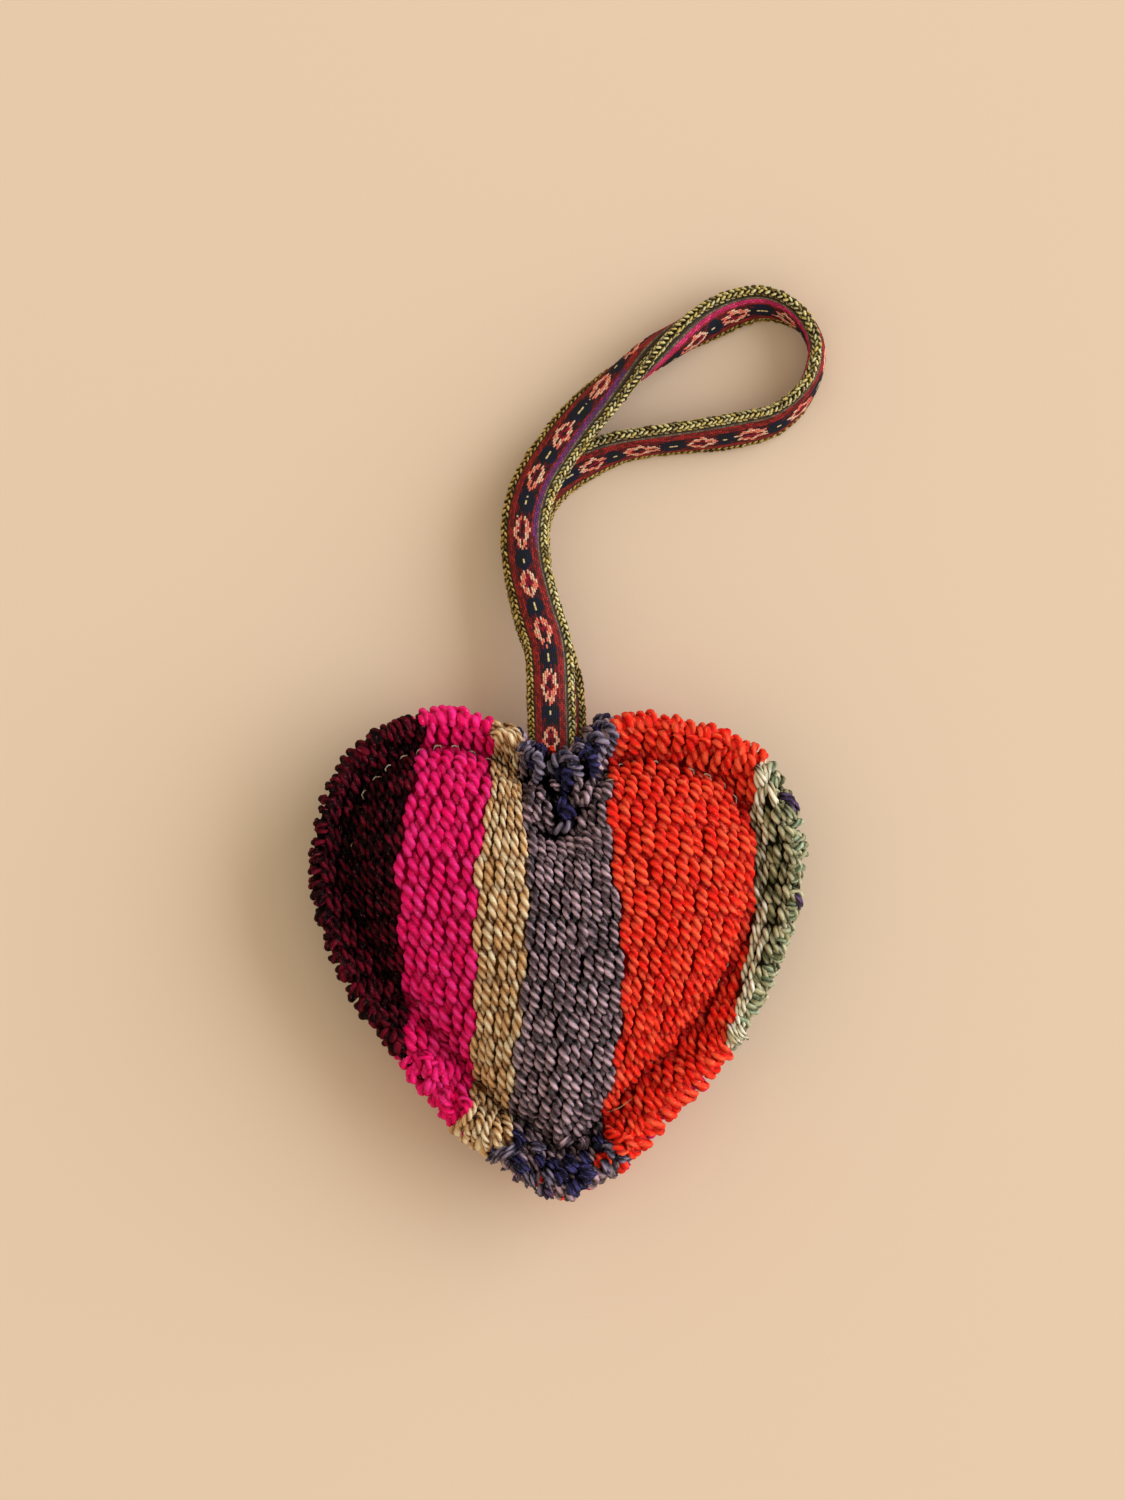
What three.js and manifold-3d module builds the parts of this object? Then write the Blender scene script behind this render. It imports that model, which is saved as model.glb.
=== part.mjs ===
// Wool heart charm: two panels of striped hand-woven cloth sewn together round a puffed
// filling, with a narrow patterned strap caught in the notch as a hanging loop.
// Millimetres, +Z up. The heart lies on its back on the plane z = 0, notch towards +Y.

import * as THREE from 'three';
import { mergeVertices } from 'three/addons/utils/BufferGeometryUtils.js';
import Module from 'manifold-3d';

// Heart
const HEART_WIDTH = 99.8;
const HEART_HEIGHT = 97.6;
const REST_HEIGHT = 14; // from the surface to the plane where the panels meet
const CLOTH_THICKNESS = 4.2; // one panel at its cut edge
const RIM_WIDTH = 9.5; // loose cloth outside the sewn line
const SEAM_SINK = 1.3; // how far the stitches pull the cloth in
const SEAM_GROOVE = 2.4; // width of the pulled-in channel
const FRONT_PUFF = 13.5; // rise of the filled body over the sewn line
const BACK_PUFF = 14.5; // the same below, before its own weight flattens it
const TUFT_PITCH = 5; // yarn ends bunch along the cut edge
const TUFT_DEPTH = 0.7;
const CLEFT_LENGTH = 19; // fold that runs in from the notch
const CLEFT_WIDTH = 6;
const CLEFT_DEPTH = 4;

// Strap
const STRAP_WIDTH = 10;
const STRAP_THICKNESS = 3.8;
const SEWN_LENGTH = 9; // each end of the strap that lies between the panels
const STRAND_OFFSET = 1; // each end lies this far to its side of the notch
const STRAND_GAP = 0.4; // between the two ends, one over the other
const POCKET_WALL = 2; // cloth over and under the sewn ends
const POCKET_EASE = 7; // length over which the cloth comes back down

// Sewing thread and fits
const THREAD_DIAMETER = 0.9;
const GAP = 0.3; // between pieces that touch

// Cut edge of the cloth, as shares of half the width and half the height, from the notch
// anticlockwise round the left lobe, the tip and the right lobe.
const OUTLINE = [
  [0.0, 0.83], [-0.16, 0.91], [-0.4, 1.0], [-0.58, 0.98], [-0.76, 0.89], [-0.92, 0.7],
  [-1.0, 0.36], [-0.97, 0.15], [-0.87, -0.09], [-0.71, -0.34], [-0.52, -0.58], [-0.36, -0.76],
  [-0.17, -0.89], [-0.07, -0.98], [0.02, -1.0], [0.11, -0.96], [0.26, -0.87], [0.42, -0.7],
  [0.62, -0.5], [0.81, -0.24], [0.94, 0.03], [1.0, 0.28], [0.96, 0.58], [0.79, 0.84],
  [0.61, 0.93], [0.31, 0.98], [0.14, 0.93],
];
const BODY_CENTRE = 0.08; // where the rings close, as a share of half the height

// Middle of the strap from the notch round the loop and back: x and y from the notch, free
// height under the band, roll (0 flat, 90 on edge) and a share of the thickness.
const STRAP_ROUTE = [
  [-1.2, 9.6, 12.6, 0, 1], [-1.8, 20.6, 10.8, 0, 1], [-4.3, 29.6, 9.4, 4, 1],
  [-6.3, 38.6, 8.4, 8, 1], [-6.3, 46.6, 7.9, 10, 1], [-4.3, 53.4, 7.4, 14, 1],
  [-0.5, 59.6, 6.9, 19, 1], [3.6, 65, 5.9, 25, 1.1], [8.2, 70, 4.2, 36, 1.25],
  [13.2, 75, 2.2, 56, 1.5], [18.8, 79.4, 0.8, 86, 1.8], [24.4, 82.8, 0.3, 116, 1.7],
  [30, 86, 0.2, 136, 1.35], [35.8, 88.8, 0.2, 136, 1.1], [41.2, 89.9, 0.2, 128, 1],
  [46, 88.7, 0.2, 116, 1], [50.1, 85.4, 0.2, 100, 1], [52.1, 81, 0.2, 88, 1],
  [51.5, 75.5, 0.2, 80, 1], [48.6, 70.4, 0.2, 68, 1], [43.6, 66.4, 0.2, 56, 1],
  [37, 64.5, 0.2, 50, 1], [28.4, 63.2, 0.2, 54, 1], [19.8, 62.2, 0.2, 58, 1],
  [12.6, 60.9, 0.2, 54, 1], [6.6, 58.6, 0.2, 44, 1], [0.6, 55.2, 0.3, 34, 1],
  [-4.2, 50.4, 0.8, 24, 1], [-6, 45, 1.6, 18, 1], [-6, 38.4, 2.6, 14, 1],
  [-5.2, 31.4, 3.6, 10, 1], [-3, 23.6, 5, 6, 1], [-0.4, 16.4, 6.5, 2, 1],
  [0.8, 9.6, 8.1, 0, 1],
];

// Yarn and strap colours
const FRONT_CLOTH = new THREE.MeshStandardMaterial({ color: 0xc42a3a, roughness: 0.95, metalness: 0 });
const BACK_CLOTH = new THREE.MeshStandardMaterial({ color: 0x6b5763, roughness: 0.95, metalness: 0 });
const STRAP_BAND = new THREE.MeshStandardMaterial({ color: 0x8a6a3c, roughness: 0.9, metalness: 0 });
const PALE_THREAD = new THREE.MeshStandardMaterial({ color: 0xd9c9b0, roughness: 0.8, metalness: 0 });

const wasm = await Module();
wasm.setup();

// 0 below the start, 1 above the end, an even curve between
const ease = (value, start, end) => THREE.MathUtils.smoothstep(value, start, end);

// Closed skin through rings of points, the first and last being single points or full rings.
// Each ring runs anticlockwise seen from the side that the rings advance towards.
function skin(rings) {
  const positions = rings.flat().flatMap((point) => point.toArray());
  const triangles = [];
  let start = 0;
  for (let k = 0; k + 1 < rings.length; k++) {
    const lower = rings[k].length;
    const upper = rings[k + 1].length;
    const next = start + lower;
    const stepsBelow = lower > 1 ? lower : 0;
    const stepsAbove = upper > 1 ? upper : 0;
    let i = 0;
    let j = 0;
    while (i < stepsBelow || j < stepsAbove) {
      const a = start + (i % lower);
      const b = next + (j % upper);
      const below = i < stepsBelow ? (i + 1) / stepsBelow : Infinity;
      const above = j < stepsAbove ? (j + 1) / stepsAbove : Infinity;
      if (below <= above) {
        triangles.push(a, start + ((i + 1) % lower), b);
        i += 1;
      } else {
        triangles.push(a, next + ((j + 1) % upper), b);
        j += 1;
      }
    }
    start = next;
  }
  const geometry = new THREE.BufferGeometry();
  geometry.setAttribute('position', new THREE.Float32BufferAttribute(positions, 3));
  geometry.setIndex(triangles);
  return geometry;
}

function toManifold(geometry) {
  const bare = geometry.clone();
  bare.deleteAttribute('normal');
  bare.deleteAttribute('uv');
  const merged = mergeVertices(bare);
  return new wasm.Manifold(new wasm.Mesh({
    numProp: 3,
    vertProperties: new Float32Array(merged.attributes.position.array),
    triVerts: new Uint32Array(merged.index.array),
  }));
}

function cut(geometry, tool) {
  const mesh = toManifold(geometry).subtract(toManifold(tool)).getMesh();
  const result = new THREE.BufferGeometry();
  result.setAttribute('position', new THREE.BufferAttribute(mesh.vertProperties, 3));
  result.setIndex(new THREE.BufferAttribute(mesh.triVerts, 1));
  return result;
}

// Cut edge

const POINTS_PER_TUFT = 3;
const edgeCurve = new THREE.CatmullRomCurve3(
  OUTLINE.map(([x, y]) => new THREE.Vector3(x * HEART_WIDTH / 2, y * HEART_HEIGHT / 2, 0)), true);
const tufts = 4 * Math.round(edgeCurve.getLength() / TUFT_PITCH / 4);
const edge = edgeCurve.getSpacedPoints(tufts * POINTS_PER_TUFT).slice(0, -1);
const centre = new THREE.Vector3(0, BODY_CENTRE * HEART_HEIGHT / 2, 0);
const notch = edge[0];

function distanceToEdge(point) {
  const line = new THREE.Line3();
  const nearest = new THREE.Vector3();
  let least = Infinity;
  edge.forEach((corner, i) => {
    line.set(corner, edge[(i + 1) % edge.length]);
    line.closestPointToPoint(point, true, nearest);
    least = Math.min(least, nearest.distanceTo(point));
  });
  return least;
}

// Ring of the points that lie the inset inside the cut edge, one on each line to the centre.
function insetRing(inset, every) {
  return edge.filter((_, i) => i % every === 0).map((corner) => {
    let outside = 0;
    let inside = 1;
    for (let step = 0; step < 24; step++) {
      const share = (outside + inside) / 2;
      if (distanceToEdge(corner.clone().lerp(centre, share)) < inset) outside = share;
      else inside = share;
    }
    return corner.clone().lerp(centre, inside);
  });
}

// Cut edge with its bunched yarn ends standing out.
function tuftedRing(share) {
  return edge.map((corner, i) => {
    const stand = share * TUFT_DEPTH * Math.sin(Math.PI * (i % POINTS_PER_TUFT) / POINTS_PER_TUFT);
    return corner.clone().add(corner.clone().sub(centre).setLength(stand));
  });
}

const shrunkRing = (ring, share, every) => ring
  .filter((_, i) => i % every === 0)
  .map((point) => centre.clone().lerp(point, share));

// Heart panels

const pocketHalfWidth = STRAP_WIDTH / 2 + STRAND_OFFSET + GAP;
const pocketHalfHeight = STRAP_THICKNESS + STRAND_GAP / 2 + GAP;
const pocketEnd = notch.y - SEWN_LENGTH - GAP;
const seamRise = CLOTH_THICKNESS - SEAM_SINK;

// 1 over the sewn ends of the strap, falling to 0 beyond them.
function overStrap(x, y) {
  const beside = Math.max(Math.abs(x - notch.x) - pocketHalfWidth, 0);
  const beyond = Math.max(pocketEnd - y, 0);
  return 1 - ease(Math.hypot(beside, beyond), 0, POCKET_EASE);
}

// Depth of the fold that runs from the notch into the body.
function cleft(x, y) {
  const along = THREE.MathUtils.clamp((notch.y - y) / CLEFT_LENGTH, 0, 1);
  const across = (x - notch.x) / (CLEFT_WIDTH / 2);
  return CLEFT_DEPTH * Math.sin(Math.PI * along) * Math.exp(-across * across);
}

// Half of the puffed heart: rings from the flat meeting plane out to the edge and over.
function panelRings(puff) {
  const grooveOuter = insetRing(RIM_WIDTH - SEAM_GROOVE / 2, 2);
  const grooveInner = insetRing(RIM_WIDTH + SEAM_GROOVE / 2, 2);
  const body = (share) => seamRise + puff * (1 - share * share) ** 0.62;
  const rings = [
    { points: [centre.clone()], rise: 0 },
    { points: shrunkRing(grooveInner, 0.6, 4), rise: 0 },
    { points: tuftedRing(0.4), rise: 0 },
    { points: tuftedRing(1), rise: 0.45 * CLOTH_THICKNESS },
    { points: insetRing(0.14 * RIM_WIDTH, 1), rise: 0.92 * CLOTH_THICKNESS },
    { points: insetRing(0.46 * RIM_WIDTH, 2), rise: 1.08 * CLOTH_THICKNESS },
    { points: grooveOuter, rise: seamRise },
    { points: grooveInner, rise: seamRise },
  ];
  const shares = [[0.94, 1], [0.86, 1], [0.74, 1], [0.59, 2], [0.42, 2], [0.23, 4]];
  for (const [share, every] of shares) {
    rings.push({ points: shrunkRing(grooveInner, share, every), rise: body(share) });
  }
  rings.push({ points: [centre.clone()], rise: body(0) });
  const strapLift = pocketHalfHeight + POCKET_WALL - seamRise;
  for (const ring of rings) {
    ring.points.forEach((point) => {
      const covered = overStrap(point.x, point.y);
      const lift = strapLift * covered * ease(ring.rise, 0, seamRise);
      const fold = cleft(point.x, point.y) * (1 - covered) * ease(ring.rise, seamRise, 2 * seamRise);
      point.z = ring.rise + lift - fold;
    });
  }
  return rings.map((ring) => ring.points);
}

function strapPocket() {
  const corner = STRAP_THICKNESS / 2 + GAP;
  const right = pocketHalfWidth - corner;
  const top = pocketHalfHeight - corner;
  const shape = new THREE.Shape();
  shape.absarc(right, -top, corner, -Math.PI / 2, 0);
  shape.absarc(right, top, corner, 0, Math.PI / 2);
  shape.absarc(-right, top, corner, Math.PI / 2, Math.PI);
  shape.absarc(-right, -top, corner, Math.PI, 3 * Math.PI / 2);
  const clearMouth = 2 * RIM_WIDTH;
  const pocket = new THREE.ExtrudeGeometry(shape, {
    depth: notch.y - pocketEnd + clearMouth, bevelEnabled: false, curveSegments: 4,
  });
  return pocket.rotateX(-Math.PI / 2).translate(notch.x, pocketEnd, REST_HEIGHT);
}

function frontPanel() {
  const rings = panelRings(FRONT_PUFF);
  rings.flat().forEach((point) => { point.z += REST_HEIGHT + GAP / 2; });
  return cut(skin(rings), strapPocket());
}

// The same panel turned over, flat where the heart rests on it.
function backPanel() {
  const rings = panelRings(BACK_PUFF).reverse();
  rings.flat().forEach((point) => { point.z = Math.max(REST_HEIGHT - GAP / 2 - point.z, 0); });
  return cut(skin(rings), strapPocket());
}

// Strap

// Half the height of the rolled band, so that it can stand on what is under it.
function halfHeight(roll, thickness) {
  return Math.hypot(STRAP_WIDTH / 2 * Math.sin(roll), thickness / 2 * Math.cos(roll));
}

function strapStations() {
  const sewn = (side, inside) => {
    const y = inside ? notch.y - SEWN_LENGTH : notch.y;
    const z = REST_HEIGHT + side * (STRAP_THICKNESS + STRAND_GAP) / 2;
    const point = new THREE.Vector3(notch.x - side * STRAND_OFFSET, y, z);
    return { point, roll: 0, thickness: STRAP_THICKNESS };
  };
  const free = STRAP_ROUTE.map(([x, y, lift, degrees, share]) => {
    const roll = THREE.MathUtils.degToRad(degrees);
    const thickness = share * STRAP_THICKNESS;
    const z = lift + halfHeight(roll, thickness);
    return { point: new THREE.Vector3(notch.x + x, notch.y + y, z), roll, thickness };
  });
  return [sewn(1, true), sewn(1, false), ...free, sewn(-1, false), sewn(-1, true)];
}

// Lens-shaped band carried along its route, rolled and thickened from station to station.
function strapBand() {
  const STEPS = 80;
  const SIDES = 12;
  const stations = strapStations();
  const route = new THREE.CatmullRomCurve3(stations.map((station) => station.point), false, 'centripetal');
  const value = (name, at) => {
    const place = at * (stations.length - 1);
    const k = Math.min(Math.floor(place), stations.length - 2);
    return THREE.MathUtils.lerp(stations[k][name], stations[k + 1][name], place - k);
  };
  const up = new THREE.Vector3(0, 0, 1);
  const rings = [];
  for (let step = 0; step <= STEPS; step++) {
    const at = route.getUtoTmapping(step / STEPS);
    const middle = route.getPoint(at);
    const along = route.getTangent(at);
    const left = up.clone().cross(along).normalize();
    const above = along.clone().cross(left).normalize();
    const roll = value('roll', at);
    const face = above.clone().multiplyScalar(Math.cos(roll)).addScaledVector(left, Math.sin(roll));
    const side = along.clone().cross(face).normalize();
    const ring = [];
    for (let i = 0; i < SIDES; i++) {
      const turn = 2 * Math.PI * i / SIDES;
      ring.push(middle.clone()
        .addScaledVector(face, value('thickness', at) / 2 * Math.cos(turn))
        .addScaledVector(side, STRAP_WIDTH / 2 * Math.sin(turn)));
    }
    if (step === 0) rings.push([middle]);
    rings.push(ring);
    if (step === STEPS) rings.push([middle]);
  }
  return skin(rings);
}

// Sewing thread in the channel of the front panel, from one side of the strap to the other.
function seamThread() {
  const SIDES = 6;
  const lie = REST_HEIGHT + GAP / 2 + seamRise + GAP + THREAD_DIAMETER / 2;
  const clear = pocketHalfWidth + POCKET_EASE;
  const route = insetRing(RIM_WIDTH, 3)
    .filter((point) => point.y < notch.y - RIM_WIDTH - SEWN_LENGTH || Math.abs(point.x - notch.x) > clear)
    .map((point) => point.setZ(lie));
  const curve = new THREE.CatmullRomCurve3(route);
  const shape = new THREE.Shape();
  shape.absarc(0, 0, THREAD_DIAMETER / 2, 0, 2 * Math.PI);
  return new THREE.ExtrudeGeometry(shape, {
    extrudePath: curve, steps: 96, bevelEnabled: false, curveSegments: SIDES,
  });
}

function piece(name, geometry, material) {
  geometry.computeVertexNormals();
  const mesh = new THREE.Mesh(geometry, material);
  mesh.name = name;
  return mesh;
}

const charm = new THREE.Group();
charm.add(piece('front_panel', frontPanel(), FRONT_CLOTH));
charm.add(piece('back_panel', backPanel(), BACK_CLOTH));
charm.add(piece('strap', strapBand(), STRAP_BAND));
charm.add(piece('seam_thread', seamThread(), PALE_THREAD));

export default charm;
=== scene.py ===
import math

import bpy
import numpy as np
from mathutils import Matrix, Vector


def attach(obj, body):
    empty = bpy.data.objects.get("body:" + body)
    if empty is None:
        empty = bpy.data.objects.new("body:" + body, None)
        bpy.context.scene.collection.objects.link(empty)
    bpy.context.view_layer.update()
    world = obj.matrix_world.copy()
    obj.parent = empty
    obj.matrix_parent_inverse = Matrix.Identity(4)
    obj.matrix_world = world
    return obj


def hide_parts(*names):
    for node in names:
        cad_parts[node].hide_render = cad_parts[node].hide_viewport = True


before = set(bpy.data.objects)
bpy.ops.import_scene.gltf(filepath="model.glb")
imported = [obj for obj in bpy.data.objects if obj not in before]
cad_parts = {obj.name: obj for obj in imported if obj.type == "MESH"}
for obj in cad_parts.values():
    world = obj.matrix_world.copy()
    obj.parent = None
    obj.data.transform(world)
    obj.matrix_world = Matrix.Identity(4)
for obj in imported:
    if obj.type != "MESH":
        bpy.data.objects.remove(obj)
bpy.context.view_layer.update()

# Wool heart charm: a stuffed heart of striped hand-woven cloth, hung by a patterned woven strap.
# Lengths are millimetres until a mesh is made. X runs to the right of the front, Y from the tip
# to the notch, Z out of the front, and the heart lies on the plane Z = 0.

MM = 0.001

# The stuffed heart
HEART_WIDTH = 99.8
HEART_HEIGHT = 97.6
MID_HEIGHT = 14.0  # plane where the two panels are sewn together
RIM_WIDTH = 9.5  # loose cloth outside the sewn line
SEAM_RISE = 2.7  # front skin over the mid plane at the pulled-in seam
SEAM_GROOVE = 2.4
FRONT_PUFF = 13.7
BACK_PUFF = 14.5
CLEFT_LENGTH = 19.0
CLEFT_WIDTH = 6.0
CLEFT_DEPTH = 4.0
CENTRE = (0.0, 3.9)

# Cut edge of the panels, in hundredths of half the width and half the height, from the notch round
OUTLINE = [
    (0, 83), (-16, 91), (-40, 100), (-58, 98), (-76, 89), (-92, 70), (-100, 36), (-97, 15),
    (-87, -9), (-71, -34), (-52, -58), (-36, -76), (-17, -89), (-7, -98), (2, -100), (11, -96),
    (26, -87), (42, -70), (62, -50), (81, -24), (94, 3), (100, 28), (96, 58), (79, 84), (61, 93),
    (31, 98), (14, 93),
]
NOTCH = OUTLINE[0][1] / 100 * HEART_HEIGHT / 2

# The strap
STRAP_WIDTH = 10.0
STRAP_THICKNESS = 3.8
SEWN_LENGTH = 9.0  # each end of the strap that lies between the panels
SEWN_SHARE = 0.4  # thickness to which the filling presses the sewn ends
STRAND_OFFSET = 1.0
STRAND_GAP = 0.4
POCKET_LIFT = 3.4  # how far the cloth stands up over the sewn ends
POCKET_HALF_WIDTH = 6.3
POCKET_EASE = 7.0

# Middle of the strap round its loop: x and y from the notch, free height below it, roll in
# degrees, and its thickness as a share of the usual one
STRAP_ROUTE = [
    (-1.2, 9.6, 12.6, 0, 1), (-1.8, 20.6, 10.8, 0, 1), (-4.3, 29.6, 9.4, 4, 1),
    (-6.3, 38.6, 8.4, 8, 1), (-6.3, 46.6, 7.9, 10, 1), (-4.3, 53.4, 7.4, 14, 1),
    (-0.5, 59.6, 6.9, 19, 1), (3.6, 65, 5.9, 25, 1.1), (8.2, 70, 4.2, 36, 1.25),
    (13.2, 75, 2.2, 56, 1.5), (18.8, 79.4, 0.8, 86, 1.8), (24.4, 82.8, 0.3, 116, 1.7),
    (30, 86, 0.2, 136, 1.35), (35.8, 88.8, 0.2, 136, 1.1), (41.2, 89.9, 0.2, 128, 1),
    (46, 88.7, 0.2, 116, 1), (50.1, 85.4, 0.2, 100, 1), (52.1, 81, 0.2, 88, 1),
    (51.5, 75.5, 0.2, 80, 1), (48.6, 70.4, 0.2, 68, 1), (43.6, 66.4, 0.2, 56, 1),
    (37, 64.5, 0.2, 50, 1), (28.4, 63.2, 0.2, 54, 1), (19.8, 62.2, 0.2, 58, 1),
    (12.6, 60.9, 0.2, 54, 1), (6.6, 58.6, 0.2, 44, 1), (0.6, 55.2, 0.3, 34, 1),
    (-4.2, 50.4, 0.8, 24, 1), (-6, 45, 1.6, 18, 1), (-6, 38.4, 2.6, 14, 1),
    (-5.2, 31.4, 3.6, 10, 1), (-3, 23.6, 5, 6, 1), (-0.4, 16.4, 6.5, 2, 1), (0.8, 9.6, 8.1, 0, 1),
]

# Camera, looking straight down as the photograph does
VIEW_CENTRE = (1.1, 40.5)
VIEW_HEIGHT = 1500.0  # of the camera over the floor
VIEW_LENGTH = 300.0  # what the picture's longer side takes in at the mid plane


def add_object(name, data):
    """A new object in the scene, which holds the data given."""
    made = bpy.data.objects.new(name, data)
    bpy.context.scene.collection.objects.link(made)
    return made


def make_camera():
    lens = bpy.data.cameras.new("camera")
    lens.sensor_width = 36
    lens.lens = lens.sensor_width * (VIEW_HEIGHT - MID_HEIGHT) / VIEW_LENGTH
    lens.clip_start = 0.05
    camera = add_object("camera", lens)
    camera.location = (VIEW_CENTRE[0] * MM, VIEW_CENTRE[1] * MM, VIEW_HEIGHT * MM)
    bpy.context.scene.camera = camera


make_camera()

# Curves and vectors


def unit(vectors):
    return vectors / np.maximum(np.linalg.norm(vectors, axis=-1, keepdims=True), 1e-9)


def hermite(t, start, leave, end, arrive):
    """Cubic from start to end as t goes from 0 to 1, with the slopes given at its ends."""
    return (
        (2 * t**3 - 3 * t**2 + 1) * start + (t**3 - 2 * t**2 + t) * leave
        + (3 * t**2 - 2 * t**3) * end + (t**3 - t**2) * arrive
    )


def smooth_curve(points, per_span, closed=False):
    """Centripetal Catmull-Rom curve through the points: a cubic for each span, whose end slopes
    weigh the neighbouring steps by the square roots of their lengths in the first three columns."""
    p = np.asarray(points, float)
    p = np.vstack([p[-1], p, p[:2]]) if closed else np.vstack([2 * p[0] - p[1], p, 2 * p[-1] - p[-2]])
    step = np.sqrt(np.linalg.norm(np.diff(p[:, :3], axis=0), axis=1))[:, None]
    slope = np.diff(p, axis=0) / step
    wide = (p[2:] - p[:-2]) / (step[1:] + step[:-1])
    leave = (slope[:-2] - wide[:-1] + slope[1:-1]) * step[1:-1]
    arrive = (slope[1:-1] - wide[1:] + slope[2:]) * step[1:-1]
    t = (np.arange(per_span) / per_span)[None, :, None]
    curve = hermite(t, p[1:-2, None], leave[:, None], p[2:-1, None], arrive[:, None])
    curve = curve.reshape(-1, p.shape[1])
    return curve if closed else np.vstack([curve, p[-2]])


def lengths_along(points):
    """Running length of lines of points, in their first three columns."""
    steps = np.linalg.norm(np.diff(points[..., :3], axis=-2), axis=-1)
    return np.concatenate([0 * steps[..., :1], np.cumsum(steps, axis=-1)], -1)


def points_at(line, places):
    """Points of a line at the given lengths along it."""
    return np.stack([np.interp(places, lengths_along(line), column) for column in line.T], 1)


def even_steps(line, count):
    """The same line with its points spaced evenly along it."""
    return points_at(line, np.linspace(0, lengths_along(line)[-1], count))


def profile(value, knots):
    """Cubic curve through the knots, its slope at each the mean of those on either side."""
    at, height = np.array(knots, float).T
    slope = np.gradient(height, at)
    i = np.clip(np.searchsorted(at, value) - 1, 0, len(at) - 2)
    gap = at[i + 1] - at[i]
    t = np.clip((value - at[i]) / gap, 0, 1)
    return hermite(t, height[i], gap * slope[i], height[i + 1], gap * slope[i + 1])


# Meshes

FLOOR_GAP = 0.02  # least height of any point over the floor


def tube_faces(rings, around):
    """Faces between neighbouring rings of points, and a fan at each end on one more point: each
    corner's point, ring and spoke, and how many corners each face has."""
    k, j = (grid.reshape(-1, 1) for grid in np.indices((rings - 1, around)))
    fan = np.arange(around)[:, None]
    ring = [(k + [0, 1, 1, 0]).ravel(), np.zeros(3 * around, int), np.full(3 * around, rings - 1)]
    spoke = [j + [0, 0, 1, 1], fan + [0.5, 0, 1], fan + [0.5, 1, 0]]
    ring, spoke = np.concatenate(ring), np.concatenate([part.ravel() for part in spoke])
    point = np.where(spoke % 1 > 0, rings * around + (ring > 0), ring * around + spoke % around)
    return point.astype(int), ring, spoke, np.repeat([4, 3], [len(k), 2 * around])


class Bundle:
    """Strands of two-ply yarn gathered into one mesh. Each is a ring of points carried along a
    middle line: width and height across it, notched between its plies, and turned steadily along
    it so that the notches wind round it. Both ends close on a point."""

    def __init__(self):
        self.strands, self.count = [], 0

    def add(self, middle, up, width, height, turn, per_ply, notch, marks, blunt=0.6):
        """middle and up are (strands, rings, 3), the others (strands, rings) or plain numbers."""
        strands, rings = middle.shape[:2]
        full = np.ones((strands, rings))
        width, height, turn = ((value * full)[..., None] for value in (width, height, turn))
        along = unit(np.gradient(middle, axis=1))
        side = unit(np.cross(along, up))
        top = np.cross(side, along)
        sides = 2 * per_ply
        spoke = np.arange(sides)
        angle = 2 * np.pi * spoke / sides + turn
        lobe = 1 - notch * (1 - np.sin(np.pi * (spoke % per_ply) / per_ply))
        ring = (
            middle[:, :, None]
            + side[:, :, None] * (width * lobe * np.cos(angle))[..., None]
            + top[:, :, None] * (height * lobe * np.sin(angle))[..., None]
        ).reshape(strands, -1, 3)
        first = middle[:, :1] - along[:, :1] * (blunt * height[:, :1])
        last = middle[:, -1:] + along[:, -1:] * (blunt * height[:, -1:])
        points = np.concatenate([ring, first, last], 1).reshape(-1, 3)
        marks = np.repeat(np.stack([mark * full for mark in marks], -1), sides, axis=1)
        marks = np.concatenate([marks, marks[:, :1], marks[:, -1:]], 1).reshape(-1, 3)
        corners, of_ring, of_spoke, sizes = tube_faces(rings, sides)
        start = self.count + (rings * sides + 2) * np.arange(strands)[:, None]
        uv = np.stack([np.tile(of_spoke / per_ply, strands), lengths_along(middle)[:, of_ring].ravel()], 1)
        self.strands.append((points, (start + corners).ravel(), np.tile(sizes, strands), uv, marks))
        self.count += len(points)

    def piece(self, name, finish, slot):
        return make_mesh(name, *map(np.concatenate, zip(*self.strands)), finish, slot)


def make_mesh(name, points, corners, sizes, uv, marks, finish, slot):
    """A piece from its points, the corners of its faces and how many each face has."""
    mesh = bpy.data.meshes.new(name)
    mesh.vertices.add(len(points))
    mesh.loops.add(len(corners))
    mesh.polygons.add(len(sizes))

    def fill(rows, key, values, kind=np.float32):
        rows.foreach_set(key, values.astype(kind).ravel())

    fill(mesh.vertices, "co", np.column_stack([points[:, :2], np.maximum(points[:, 2], FLOOR_GAP)]) * MM)
    fill(mesh.loops, "vertex_index", corners, np.int32)
    fill(mesh.polygons, "loop_start", np.cumsum(sizes) - sizes, np.int32)
    mesh.shade_smooth()
    fill(mesh.uv_layers.new(name="run").data, "uv", uv)
    colours = mesh.color_attributes.new(name="marks", type="FLOAT_COLOR", domain="POINT")
    fill(colours.data, "color", np.column_stack([marks, np.ones(len(marks))]))
    mesh.update(calc_edges=True)
    mesh.materials.append(finish)
    made = add_object(name, mesh)
    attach(made, "root")
    return made


def closed_rings(name, rings, uv, marks, turned, finish, slot):
    """A closed skin over rings of points (rings, around, 3), with a pole at each end. Where it is
    turned, the rings are taken the other way round, so that the faces look outwards."""
    if turned:
        rings, uv, marks = rings[:, ::-1], uv[:, ::-1], marks[:, ::-1]
    corners, _, _, sizes = tube_faces(*rings.shape[:2])

    def with_poles(values):
        return np.concatenate([values.reshape(-1, 3), values[[0, -1]].mean(axis=1)])

    uv = uv.reshape(-1, 2)
    uv = np.concatenate([uv, uv[:1], uv[-1:]])[corners]
    return make_mesh(name, with_poles(rings), corners, sizes, uv, with_poles(marks), finish, slot)


# Finishes


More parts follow.
